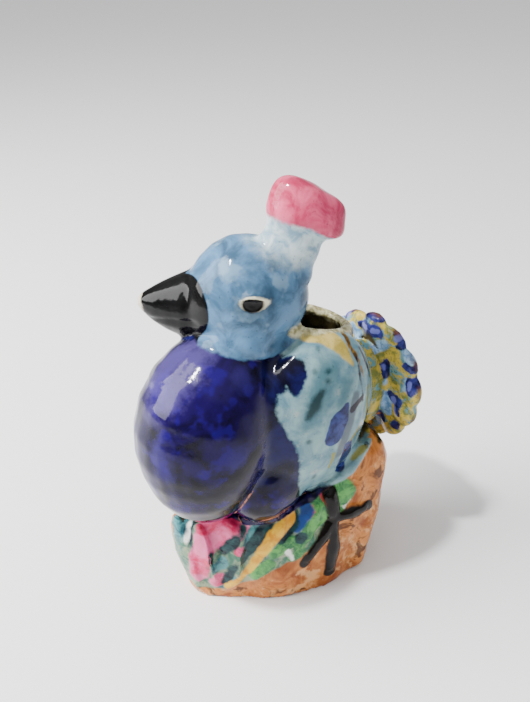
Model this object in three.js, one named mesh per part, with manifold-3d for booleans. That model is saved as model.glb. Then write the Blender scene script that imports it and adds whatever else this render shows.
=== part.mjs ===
// A glazed earthenware peacock, cast in one piece with its rocky stump.
// The bird is a small planter: its body is hollow and open along the back, behind the head.
// Millimetres, +Z up. The bird faces -Y and its left wing is towards +X. The origin is on the table.
import * as THREE from "three";
import { mergeVertices } from "three/addons/utils/BufferGeometryUtils.js";
import Module from "manifold-3d";

const wasm = await Module();
wasm.setup();

// Driving dimensions
const height = 170; // from the table to the top of the crest
const wall = 4.5; // thickness of the cast wall around the hollow
const floorThickness = 7; // clay under the hollow, at the foot
const mouthWidth = 25; // the clear opening in the back, across the bird
const mouthLength = 31; // the clear opening in the back, along the bird
const lip = 2.4; // radius of the rolled rim around the mouth
const waistWidth = 28; // the passage from the body's hollow down into the stump's, across the bird
const waistLength = 32; // the same passage, along the bird
const fanThickness = 6; // the tail fan at its middle

// The figure is drawn in parts: one part is a hundredth of its height.
const part = height / 100;
const at = (x, y, z) => new THREE.Vector3(x, y, z).multiplyScalar(part);
const { degToRad, lerp, clamp, smoothstep } = THREE.MathUtils;
const { sin, cos, PI, abs, exp, round } = Math;

// A three.js geometry as a solid that can be joined and cut
function solid(geometry) {
  const bare = geometry.clone();
  for (const name of ["normal", "uv"]) bare.deleteAttribute(name);
  const merged = mergeVertices(bare, 1e-4);
  const facing = (turned) => {
    const triVerts = new Uint32Array(merged.index.array);
    if (turned) triVerts.reverse();
    return new wasm.Manifold(
      new wasm.Mesh({ numProp: 3, vertProperties: merged.attributes.position.array, triVerts }),
    );
  };
  const made = facing(false);
  return made.volume() > 0 ? made : facing(true);
}

// A closed skin with a pole at each end: place(turn, along) gives the point at an angle and a share of its
// length.
function skin(around, along, place) {
  const geometry = new THREE.SphereGeometry(1, around, along);
  const { position, uv } = geometry.attributes;
  for (let i = 0; i < position.count; i += 1) {
    const row = round(uv.getY(i) * along);
    const column = row === 0 || row === along ? 0 : round(uv.getX(i) * around) % around;
    const point = place((column / around) * 2 * PI, 1 - row / along);
    position.setXYZ(i, point.x, point.y, point.z);
  }
  return solid(geometry);
}

// The value at a share of the length, on a smooth line through evenly spaced values
function graded(values) {
  const line = new THREE.CatmullRomCurve3(values.map((v, i) => new THREE.Vector3(i, v, 0)));
  return (share) => line.getPoint(share).y;
}

// A rounded mass along a spine: side is the direction of its first half-width. Its ends close as a ball does,
// or more squarely where blunt is under 1.
function mass({ spine, side, across, deep, around, along, blunt = 1 }) {
  const curve = new THREE.CatmullRomCurve3(spine);
  const wide = graded(across);
  const thick = graded(deep);
  return skin(around, along, (turn, v) => {
    const polar = v * PI;
    const share = (1 - cos(polar)) / 2;
    const closing = clamp(sin(polar), 0, 1) ** blunt;
    const tangent = curve.getTangent(share);
    const first = side.clone().addScaledVector(tangent, -side.dot(tangent)).normalize();
    const second = new THREE.Vector3().crossVectors(tangent, first);
    return curve
      .getPoint(share)
      .addScaledVector(first, cos(turn) * closing * wide(share) * part)
      .addScaledVector(second, sin(turn) * closing * thick(share) * part);
  });
}

const acrossBird = new THREE.Vector3(1, 0, 0);
const less = (values, by) => values.map((v) => v - by);

// The body: an egg from the breast to the rump. Its hollow is the same egg, a wall further in.
function bodyForm(depth, around, along) {
  const t = depth / part;
  return mass({
    spine: [at(0, -19 + t, 43.5), at(0, 5, 45), at(0, 28.5 - t, 46)],
    side: acrossBird,
    across: less([13, 16.4, 16.8, 13.5], t),
    deep: less([19, 22.6, 22.6, 18.5], t),
    around,
    along,
  });
}

// The breast and neck: a drop that swells forward and runs up into the head
function breastForm(depth, around, along) {
  const t = depth / part;
  return mass({
    spine: [
      at(0, -14.5, 24.5 + t),
      at(0, -16.6, 40),
      at(-0.3, -15, 52),
      at(-1.4, -7.6, 62),
      at(-1.9, -1.5, 70 - t),
    ],
    side: acrossBird,
    across: less([16.6, 16, 15, 12.2, 9], t),
    deep: less([16.4, 16.2, 15, 12.2, 9], t),
    around,
    along,
  });
}

// The head is turned to the bird's right. fromHead gives a point by its place in the head, in parts.
const headCentre = at(-2.4, -0.9, 74.3);
const headTurn = degToRad(36);
const beakward = new THREE.Vector3(-sin(headTurn), -cos(headTurn), 0);
const faceSide = new THREE.Vector3(cos(headTurn), -sin(headTurn), 0);
const fromHead = (forward, left, up) =>
  headCentre
    .clone()
    .addScaledVector(beakward, forward * part)
    .addScaledVector(faceSide, left * part)
    .add(at(0, 0, up));

function headForm() {
  return mass({
    spine: [
      fromHead(-11.4, 0, -0.5),
      fromHead(-4, 0, 0),
      fromHead(4, 0, -0.4),
      fromHead(12, 0, -1.4),
      fromHead(16, 0, -1.6),
    ],
    side: faceSide,
    across: [10.5, 11.6, 11.6, 9.4, 7],
    deep: [12, 14.3, 13.7, 9.8, 7],
    around: 24,
    along: 16,
  });
}

// The round cheeks and throat under the head
function throatForm() {
  return mass({
    spine: [fromHead(-9, 0, -3.2), fromHead(1, 0, -5.4), fromHead(13, 0, -7)],
    side: faceSide,
    across: [9, 12.2, 13.4],
    deep: [8.4, 11.4, 12.8],
    around: 20,
    along: 10,
  });
}

function beakForm() {
  return mass({
    spine: [fromHead(6, 0, -1.8), fromHead(15, 0, -1.8), fromHead(23.9, 0, -0.9)],
    side: faceSide,
    across: [9, 7.6, 5.2, 3],
    deep: [10, 8.4, 5.8, 3],
    around: 14,
    along: 10,
  });
}

// The lid that stands up over each eye
function browForm(hand) {
  return mass({
    spine: [
      fromHead(3.8, hand * 9.9, 4.2),
      fromHead(0.2, hand * 10.7, 5.4),
      fromHead(-3.6, hand * 10.2, 4.2),
    ],
    side: faceSide,
    across: [1.1, 1.3, 1.1],
    deep: [0.9, 1.1, 0.9],
    around: 8,
    along: 8,
  });
}

// The crest: a short flattened trumpet with a domed cap, leaning back from the crown
function crestForm() {
  return mass({
    spine: [
      fromHead(-4, 0, 5),
      fromHead(-7, 0, 11.8),
      fromHead(-9.6, -0.6, 17.2),
      fromHead(-12.6, -1.4, 23.6),
    ],
    side: beakward,
    across: [12.6, 7, 6.6, 8.8, 11.4],
    deep: [9, 4.8, 4.2, 5.6, 6.6],
    blunt: 0.55,
    around: 24,
    along: 16,
  });
}

// A folded wing: an almond on the side of the body. hand is 1 on the left and -1 on the right.
function wingForm(hand) {
  return mass({
    spine: [at(hand * 7, -11, 54), at(hand * 9, 2, 51), at(hand * 9.4, 13, 47.5), at(hand * 7, 25, 44)],
    side: acrossBird,
    across: [6.5, 8, 7.6, 5],
    deep: [12, 18.6, 17.4, 10],
    around: 24,
    along: 16,
  });
}

// A thigh: a rounded lobe under each wing, down to the stump
function thighForm(hand) {
  return mass({
    spine: [at(hand * 5.6, -14.5, 34), at(hand * 7.4, -6, 33.4), at(hand * 8.2, 7, 34)],
    side: acrossBird,
    across: [6.6, 7.4, 6.6],
    deep: [9.4, 10.4, 9],
    around: 14,
    along: 8,
  });
}

// The rump, where the fan leaves the body
function rumpForm() {
  return mass({
    spine: [at(0, 20, 43), at(0, 27, 44), at(0, 34, 44.2)],
    side: acrossBird,
    across: [10, 9, 8.5],
    deep: [13, 12, 11],
    around: 16,
    along: 8,
  });
}

// The tail: an upright scalloped fan of feathers, each with a raised eye near its tip and one further in
const fan = {
  centre: at(0, 33, 44.2),
  radius: 16.3 * part,
  feathers: 13,
  scallop: 0.025, // how far a feather's tip stands out, as a share of the radius
  relief: 0.55 * part,
};

// How far the fan's face stands up at a turn and at a share of the radius
function fanRelief(turn, share) {
  const feather = (turn / (2 * PI)) * fan.feathers;
  const offCentre = feather - round(feather);
  const rib = (1 - (abs(offCentre) * 2) ** 4) * smoothstep(share, 0.2, 0.5);
  const outerEye = exp(-((offCentre / 0.24) ** 2) - ((share - 0.82) / 0.11) ** 2);
  const innerEye = exp(-(((0.5 - abs(offCentre)) / 0.3) ** 2) - ((share - 0.52) / 0.12) ** 2);
  return (rib * 0.4 + outerEye + innerEye * 0.8) * fan.relief;
}

function fanForm() {
  return skin(fan.feathers * 4, 14, (turn, v) => {
    const polar = v * PI;
    const share = sin(polar) ** 0.8;
    const tips = 1 + fan.scallop * (abs(cos((turn * fan.feathers) / 2)) * 2 - 1);
    const reach = share * fan.radius * tips;
    const rise = abs(cos(polar));
    const half = (fanThickness / 2) * rise ** 0.6 + fanRelief(turn, share) * smoothstep(rise, 0, 0.3);
    const offset = new THREE.Vector3(sin(turn) * reach, -Math.sign(cos(polar)) * half, cos(turn) * reach);
    return offset.add(fan.centre);
  });
}

// The rocky stump: its outline from above at the foot and at its shoulder, in parts, from the front and round
// by the left side
const outlineOf = (points) => new THREE.CatmullRomCurve3(points.map(([x, y]) => at(x, y, 0)), true);
const footOutline = outlineOf([
  [-1, -20],
  [12.4, -6],
  [17.2, 15.5],
  [14, 20.5],
  [0, 25],
  [-12, 22],
  [-15.5, 10],
  [-14.5, -8],
  [-9, -17.5],
]);
const shoulderOutline = outlineOf([
  [-2, -21.8],
  [11.5, -8],
  [16, 12],
  [16.6, 27.4],
  [2, 32],
  [-12, 27],
  [-15, 8],
  [-14, -10],
  [-10.5, -21.3],
]);
const rock = { bottom: -8, front: 26, back: 37.5, axisY: 4 }; // in parts

// A point on the rock: share runs once around it, level runs from under the table to the shoulder.
function rockPoint(share, level, depth) {
  const edge = footOutline.getPoint(share).lerp(shoulderOutline.getPoint(share), level);
  const turn = share * 2 * PI;
  const bark = (sin(7 * turn + 5 * level) * 0.45 + sin(13 * turn - 8 * level + 1) * 0.3) * part;
  const out = edge.clone().sub(at(0, rock.axisY, 0)).normalize();
  edge.addScaledVector(out, depth > 0 ? -depth : bark);
  const shoulder = lerp(rock.front, rock.back, smoothstep(edge.y / part, 0, 26)) - depth / part;
  edge.z = lerp(rock.bottom, shoulder, level) * part;
  return edge;
}

function rockForm(depth, around, along) {
  return skin(around, along, (turn, v) => {
    const polar = v * PI;
    const edge = rockPoint(turn / (2 * PI), (1 - cos(polar)) / 2, depth);
    const axis = at(0, rock.axisY, 0).setZ(edge.z);
    return axis.lerp(edge, clamp(sin(polar), 0, 1) ** 0.2);
  });
}

// The leaves that lean on the front of the rock: each runs from the foot up to its tip under the bird.
const leafRoots = new THREE.LineCurve3(at(0.4, -19.4, 1), at(9.6, -9, 5));
const leafTips = new THREE.CatmullRomCurve3([
  at(-6.6, -21.4, 22),
  at(0.6, -19.6, 23),
  at(6.4, -13.2, 24),
  at(11.2, -3.6, 24),
  at(13.8, 5, 24.5),
]);
const leafCount = 5;

function leafForm(index) {
  const share = index / (leafCount - 1);
  const root = leafRoots.getPoint(share);
  const tip = leafTips.getPoint(share);
  const middle = root.clone().lerp(tip, 0.5);
  const outward = middle.clone().sub(at(0, rock.axisY, 0)).setZ(0).normalize();
  middle.addScaledVector(outward, 1.1 * part);
  return mass({
    spine: [root, middle, tip],
    side: outward,
    across: [1, 1.6, 1.4],
    deep: [2.4, 4.6, 3.8],
    around: 8,
    along: 8,
  });
}

// A leg, and three toes that spread from its ankle over the rock, on each side
const ankle = [15.1, 8.9, 20.1];
const limbs = [
  [[13.6, 8.4, 28], [14.6, 8.7, 24], ankle],
  [ankle, [16.3, 13.3, 20.9], [16.4, 18.4, 20.2]],
  [ankle, [15.8, 8.6, 12], [16, 7.8, 4.4]],
  [ankle, [15, 4.6, 14.8], [14.6, 1, 10.4]],
];
const limbRadius = 1.4; // in parts

function limbForm(points, hand) {
  return mass({
    spine: points.map(([x, y, z]) => at(hand * x, y, z)),
    side: acrossBird,
    across: [limbRadius, limbRadius, limbRadius],
    deep: [limbRadius * 1.2, limbRadius * 1.2, limbRadius * 1.2],
    blunt: 0.4,
    around: 6,
    along: 6,
  });
}

// The mouth: an oval through the back, whose rolled rim slopes down towards the tail
const mouth = {
  y: 10.6 * part,
  halfWidth: mouthWidth / 2,
  halfLength: mouthLength / 2,
  top: 66.2 * part, // the middle of the rim
  slope: -0.32,
  low: 52 * part, // inside the hollow
};
const rimZ = (y) => mouth.top + (y - mouth.y) * mouth.slope;

// An oval plug along the mouth, with its top following the rim
function mouthPlug(margin, above) {
  const plug = new THREE.CylinderGeometry(1, 1, 1, 28).rotateX(PI / 2);
  const { position } = plug.attributes;
  for (let i = 0; i < position.count; i += 1) {
    const y = mouth.y + position.getY(i) * (mouth.halfLength + margin);
    const z = position.getZ(i) > 0 ? rimZ(y) + above : mouth.low;
    position.setXYZ(i, position.getX(i) * (mouth.halfWidth + margin), y, z);
  }
  return solid(plug);
}

// The passage between the two hollows: an upright oval plug
const waist = { y: 12 * part, low: 20 * part, top: 42 * part };

function waistPlug() {
  const plug = new THREE.CylinderGeometry(1, 1, waist.top - waist.low, 24).rotateX(PI / 2);
  plug.scale(waistWidth / 2, waistLength / 2, 1);
  return solid(plug.translate(0, waist.y, (waist.low + waist.top) / 2));
}

function rolledRim() {
  const ring = new THREE.TorusGeometry(1, 0.5, 8, 28);
  const { position, uv } = ring.attributes;
  for (let i = 0; i < position.count; i += 1) {
    const turn = uv.getX(i) * 2 * PI;
    const roll = uv.getY(i) * 2 * PI;
    const reach = lip + cos(roll) * lip;
    const y = mouth.y + sin(turn) * (mouth.halfLength + reach);
    position.setXYZ(i, cos(turn) * (mouth.halfWidth + reach), y, rimZ(y) + sin(roll) * lip);
  }
  return solid(ring);
}

const joined = (forms) => forms.reduce((whole, form) => whole.add(form));
const hands = [1, -1];

const slab = (low, thickness) =>
  solid(new THREE.BoxGeometry(4 * height, 4 * height, thickness).translate(0, 0, low + thickness / 2));

// The planter: body, breast, wings and stump, hollow down to the floor at the foot and open at the mouth
const shell = joined([
  bodyForm(0, 28, 18),
  breastForm(0, 26, 18),
  ...hands.map(wingForm),
  ...hands.map(thighForm),
  rumpForm(),
  rockForm(0, 40, 12),
  mouthPlug(2 * lip, 0),
  rolledRim(),
]);
const hollow = joined([
  bodyForm(wall, 18, 10),
  breastForm(wall, 16, 10),
  rockForm(wall, 20, 8),
  waistPlug(),
  mouthPlug(0, height),
]).subtract(slab(-height, height + floorThickness));

// What stands on the planter's outside: the head with its beak and crest, the fan, the leaves and the feet
const trim = joined([
  headForm(),
  throatForm(),
  beakForm(),
  crestForm(),
  ...hands.map(browForm),
  fanForm(),
  ...Array.from({ length: leafCount }, (_, index) => leafForm(index)),
  ...hands.flatMap((hand) => limbs.map((points) => limbForm(points, hand))),
]);

const bird = shell.subtract(hollow).add(trim).subtract(slab(-height, height));

function meshOf(made, name, material) {
  const { vertProperties, triVerts } = made.getMesh();
  const geometry = new THREE.BufferGeometry();
  geometry.setAttribute("position", new THREE.BufferAttribute(new Float32Array(vertProperties), 3));
  geometry.setIndex(new THREE.BufferAttribute(new Uint32Array(triVerts), 1));
  geometry.computeVertexNormals();
  const mesh = new THREE.Mesh(geometry, material);
  mesh.name = name;
  return mesh;
}

const glaze = new THREE.MeshStandardMaterial({ color: 0x4a6fa5, roughness: 0.12, metalness: 0 });

const figure = new THREE.Group();
figure.add(meshOf(bird, "peacock", glaze));
export default figure;
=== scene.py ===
import math

import bmesh
import bpy
import numpy as np
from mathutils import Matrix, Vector, noise


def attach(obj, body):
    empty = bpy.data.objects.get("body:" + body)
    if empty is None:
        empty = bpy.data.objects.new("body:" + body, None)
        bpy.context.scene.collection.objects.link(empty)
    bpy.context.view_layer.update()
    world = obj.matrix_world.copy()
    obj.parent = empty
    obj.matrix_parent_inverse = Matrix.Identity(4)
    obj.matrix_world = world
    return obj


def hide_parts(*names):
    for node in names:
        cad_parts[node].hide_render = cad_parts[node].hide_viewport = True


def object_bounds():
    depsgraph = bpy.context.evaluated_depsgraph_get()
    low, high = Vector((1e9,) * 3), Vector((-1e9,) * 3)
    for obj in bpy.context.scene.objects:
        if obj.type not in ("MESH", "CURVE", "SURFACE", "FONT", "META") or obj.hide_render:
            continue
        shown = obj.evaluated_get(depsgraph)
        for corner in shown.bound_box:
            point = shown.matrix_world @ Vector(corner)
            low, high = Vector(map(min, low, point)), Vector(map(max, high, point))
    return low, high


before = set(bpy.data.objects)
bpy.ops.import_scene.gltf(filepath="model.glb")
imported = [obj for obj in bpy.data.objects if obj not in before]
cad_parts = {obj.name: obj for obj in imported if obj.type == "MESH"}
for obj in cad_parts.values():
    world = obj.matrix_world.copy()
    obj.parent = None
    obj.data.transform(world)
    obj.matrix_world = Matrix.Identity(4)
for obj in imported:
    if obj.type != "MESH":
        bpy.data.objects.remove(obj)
cad_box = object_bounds()

# The figure is drawn in parts, as its solid is: one part is a hundredth of the planned height.
HEIGHT = 0.170
PART = HEIGHT / 100
MM = 0.001

# The even mesh that the solid's shape is taken over into, and how often its points are drawn together: to
# melt the facets, to fill the crease beside the breast, and once more all over
VOXEL = 1.05 * MM
MELT_ROUNDS = 50
FILL_ROUNDS = 40
LAST_ROUNDS = 4

# The mouth in the back, whose rim slopes down towards the tail
MOUTH_WIDTH = 25 * MM / PART
MOUTH_LENGTH = 31 * MM / PART
MOUTH_Y = 10.6
RIM_MIDDLE = 66.2
RIM_SLOPE = 0.32
WALL = 4.5 * MM / PART

UNPAINTED = -9  # the depth in a painted area of a point that lies well outside it

# The head is turned to the bird's right
HEAD_CENTRE = np.array([-2.4, -0.9, 74.3])
HEAD_TURN = math.radians(36)
BEAKWARD = np.array([-math.sin(HEAD_TURN), -math.cos(HEAD_TURN), 0.0])
FACE_SIDE = np.array([math.cos(HEAD_TURN), -math.sin(HEAD_TURN), 0.0])
ACROSS = np.array([1.0, 0.0, 0.0])
EYE = np.array([0.2, 10.8, 3.5])  # forward, left and up from the middle of the head
EYE_AREA = 6.5  # how far round the eye the mesh is made finer
CHEEK = 6.5  # how far out to either side the eye's paint begins

# The tail fan
FAN_CENTRE = np.array([0.0, 33.0, 44.2])
FAN_RADIUS = 16.3
FAN_HALF_THICKNESS = 2.6
FAN_FRONT = 28.8  # where the fan's paint begins, along y
FEATHERS = 13
FEATHER_TURN = 2 * math.pi / FEATHERS


def from_head(forward, left, up):
    """A point by its place in the head, in parts."""
    return HEAD_CENTRE + forward * BEAKWARD + left * FACE_SIDE + np.array([0.0, 0.0, up])


def in_head(points):
    """The places of points in the head: how far forward, left and up, in parts."""
    offset = points - HEAD_CENTRE
    return offset @ BEAKWARD, offset @ FACE_SIDE, offset[:, 2]


def smoothstep(low, high, x):
    """A smooth rise from 0 at low to 1 at high."""
    t = np.clip((x - low) / (high - low), 0.0, 1.0)
    return t * t * (3 - 2 * t)


def bump(x, width):
    """A smooth rise that is 1 where x is 0."""
    return np.exp(-((x / width) ** 2))


# The masses that the figure is built from: a spine and the half-widths along it, in parts


def form(spine, side, across, deep, blunt=1.0):
    return {"spine": spine, "side": side, "across": across, "deep": deep, "blunt": blunt}


def wing_form(hand):
    spine = [(hand * 7, -11, 54), (hand * 9, 2, 51), (hand * 9.4, 13, 47.5), (hand * 7, 25, 44)]
    return form(spine, ACROSS, [6.5, 8, 7.6, 5], [12, 18.6, 17.4, 10])


def thigh_form(hand):
    spine = [(hand * 5.6, -14.5, 34), (hand * 7.4, -6, 33.4), (hand * 8.2, 7, 34)]
    return form(spine, ACROSS, [6.6, 7.4, 6.6], [9.4, 10.4, 9])


BODY_SPINE = [(0, -19, 43.5), (0, 5, 45), (0, 28.5, 46)]
BREAST_SPINE = [(0, -14.5, 24.5), (0, -16.6, 40), (-0.3, -15, 52), (-1.4, -7.6, 62), (-1.9, -1.5, 70)]
HEAD_SPINE = [
    from_head(-11.4, 0, -0.5),
    from_head(-4, 0, 0),
    from_head(4, 0, -0.4),
    from_head(12, 0, -1.4),
    from_head(16, 0, -1.6),
]
BEAK_SPINE = [from_head(6, 0, -1.8), from_head(15, 0, -1.8), from_head(23.9, 0, -0.9)]
CREST_SPINE = [
    from_head(-4, 0, 5),
    from_head(-7, 0, 11.8),
    from_head(-9.6, -0.6, 17.2),
    from_head(-12.6, -1.4, 23.6),
]
THROAT_SPINE = [from_head(-9, 0, -3.2), from_head(1, 0, -5.4), from_head(13, 0, -7)]
RUMP_SPINE = [(0, 20, 43), (0, 27, 44), (0, 34, 44.2)]
FORMS = {
    "body": form(BODY_SPINE, ACROSS, [13, 16.4, 16.8, 13.5], [19, 22.6, 22.6, 18.5]),
    "breast": form(BREAST_SPINE, ACROSS, [16.6, 16, 15, 12.2, 9], [16.4, 16.2, 15, 12.2, 9]),
    "head": form(HEAD_SPINE, FACE_SIDE, [10.5, 11.6, 11.6, 9.4, 7], [12, 14.3, 13.7, 9.8, 7]),
    "throat": form(THROAT_SPINE, FACE_SIDE, [9, 12.2, 13.4], [8.4, 11.4, 12.8]),
    "beak": form(BEAK_SPINE, FACE_SIDE, [9, 7.6, 5.2, 3], [10, 8.4, 5.8, 3]),
    "crest": form(CREST_SPINE, BEAKWARD, [12.6, 7, 6.6, 8.8, 11.4], [9, 4.8, 4.2, 5.6, 6.6], 0.55),
    "left_wing": wing_form(1),
    "right_wing": wing_form(-1),
    "left_thigh": thigh_form(1),
    "right_thigh": thigh_form(-1),
    "rump": form(RUMP_SPINE, ACROSS, [10, 9, 8.5], [13, 12, 11]),
}

# The rocky stump: its outline from above at the foot and at its shoulder, in parts
FOOT = [
    (-1, -20),
    (12.4, -6),
    (17.2, 15.5),
    (14, 20.5),
    (0, 25),
    (-12, 22),
    (-15.5, 10),
    (-14.5, -8),
    (-9, -17.5),
]
SHOULDER = [
    (-2, -21.8),
    (11.5, -8),
    (16, 12),
    (16.6, 27.4),
    (2, 32),
    (-12, 27),
    (-15, 8),
    (-14, -10),
    (-10.5, -21.3),
]
ROCK_BOTTOM = -8
ROCK_FRONT = 26  # the shoulder's height in front
ROCK_BACK = 37.5  # its height at the back
ROCK_RISE = 26  # where along y it has risen to that
ROCK_AXIS = 4  # along y

# A leg and three toes on each side
ANKLE = (15.1, 8.9, 20.1)
LIMBS = [
    [(13.6, 8.4, 28), (14.6, 8.7, 24), ANKLE],
    [ANKLE, (16.3, 13.3, 20.9), (16.4, 18.4, 20.2)],
    [ANKLE, (15.8, 8.6, 12), (16, 7.8, 4.4)],
    [ANKLE, (15, 4.6, 14.8), (14.6, 1, 10.4)],
]
LIMB_RADIUS = 1.4


def curve_point(points, share):
    """A point on the smooth line through evenly spaced points, and its direction."""
    pts = np.asarray(points, float)
    last = len(pts) - 1
    at = min(max(share, 0.0), 1.0) * last
    i = min(int(at), last - 1)
    t = at - i
    p1, p2 = pts[i], pts[i + 1]
    p0 = pts[i - 1] if i > 0 else 2 * p1 - p2
    p3 = pts[i + 2] if i + 2 <= last else 2 * p2 - p1
    v1, v2 = (p2 - p0) / 2, (p3 - p1) / 2
    a = 2 * p1 - 2 * p2 + v1 + v2
    b = -3 * p1 + 3 * p2 - 2 * v1 - v2
    return ((a * t + b) * t + v1) * t + p1, (3 * a * t + 2 * b) * t + v1


def depth_in(shape, points):
    """How far each point lies inside the form's skin, in parts: under 0 outside."""
    steps = 40
    half_step = 0.6
    found = np.full(len(points), -1e9)
    spine = np.asarray(shape["spine"], float)
    wide = [(i, v) for i, v in enumerate(shape["across"])]
    thick = [(i, v) for i, v in enumerate(shape["deep"])]
    for k in range(steps + 1):
        polar = math.pi * min(max(k / steps, 0.02), 0.98)
        share = (1 - math.cos(polar)) / 2
        centre, along = curve_point(spine, share)
        along = along / np.linalg.norm(along)
        first = shape["side"] - along * (shape["side"] @ along)
        first = first / np.linalg.norm(first)
        second = np.cross(along, first)
        closing = math.sin(polar) ** shape["blunt"]
        w = closing * curve_point(wide, share)[0][1]
        h = closing * curve_point(thick, share)[0][1]
        offset = points - centre
        gap = np.maximum(np.abs(offset @ along) - half_step, 0)
        a, b = offset @ first, offset @ second
        reach = np.hypot(a, b)
        ratio = np.maximum(np.hypot(a / w, b / h), 1e-6)
        found = np.maximum(found, reach / ratio - np.hypot(reach, gap))
    return found


def closed_curve(outline, steps=120):
    """Points along the smooth closed line through the outline's points."""
    ring = list(outline[-2:]) + list(outline) + list(outline[:2])
    last = len(ring) - 1
    shares = [(2 + len(outline) * k / steps) / last for k in range(steps)]
    return np.array([curve_point(ring, share)[0] for share in shares])


def depth_in_rock(points):
    """How far each point lies inside the stump, in parts."""
    foot, shoulder = (closed_curve(outline) - (0, ROCK_AXIS) for outline in (FOOT, SHOULDER))

    def reach(outline, turn):
        angles = np.arctan2(outline[:, 1], outline[:, 0])
        order = np.argsort(angles)
        return np.interp(turn, angles[order], np.hypot(*outline[order].T), period=2 * math.pi)

    x, y, z = points[:, 0], points[:, 1] - ROCK_AXIS, points[:, 2]
    turn = np.arctan2(y, x)
    top = ROCK_FRONT + (ROCK_BACK - ROCK_FRONT) * smoothstep(0, ROCK_RISE, points[:, 1])
    level = np.clip((z - ROCK_BOTTOM) / (top - ROCK_BOTTOM), 0, 1)
    edge = reach(foot, turn) * (1 - level) + reach(shoulder, turn) * level
    return np.minimum(edge - np.hypot(x, y), top - z)


def fan_place(points):
    """The turn round the fan's centre, from its top to the left, and the reach in shares of its radius."""
    x, z = points[:, 0], points[:, 2] - FAN_CENTRE[2]
    return np.arctan2(x, z), np.hypot(x, z) / FAN_RADIUS


def depth_in_fan(points):
    """How far each point lies inside the fan's disc, in parts."""
    reach = fan_place(points)[1]
    return np.minimum((1.03 - reach) * FAN_RADIUS, FAN_HALF_THICKNESS - np.abs(points[:, 1] - FAN_CENTRE[1]))


def stroke(points, path, radii):
    """How far each point lies inside a brush stroke along a path. Its radius runs evenly through radii."""
    path = np.asarray(path, float)
    widths = np.interp(np.linspace(0, 1, len(path)), np.linspace(0, 1, len(radii)), radii)
    if len(path) == 1:
        return widths[0] - np.linalg.norm(points - path[0], axis=1)
    found = np.full(len(points), -1e9)
    for i in range(len(path) - 1):
        a, b = path[i], path[i + 1]
        ab = b - a
        t = np.clip((points - a) @ ab / (ab @ ab), 0, 1)
        gap = np.linalg.norm(points - (a + t[:, None] * ab), axis=1)
        found = np.maximum(found, widths[i] + (widths[i + 1] - widths[i]) * t - gap)
    return found


def strokes(points, *paths):
    """How far each point lies inside the nearest of some brush strokes."""
    return np.max([stroke(points, path, radii) for path, radii in paths], axis=0)


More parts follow.
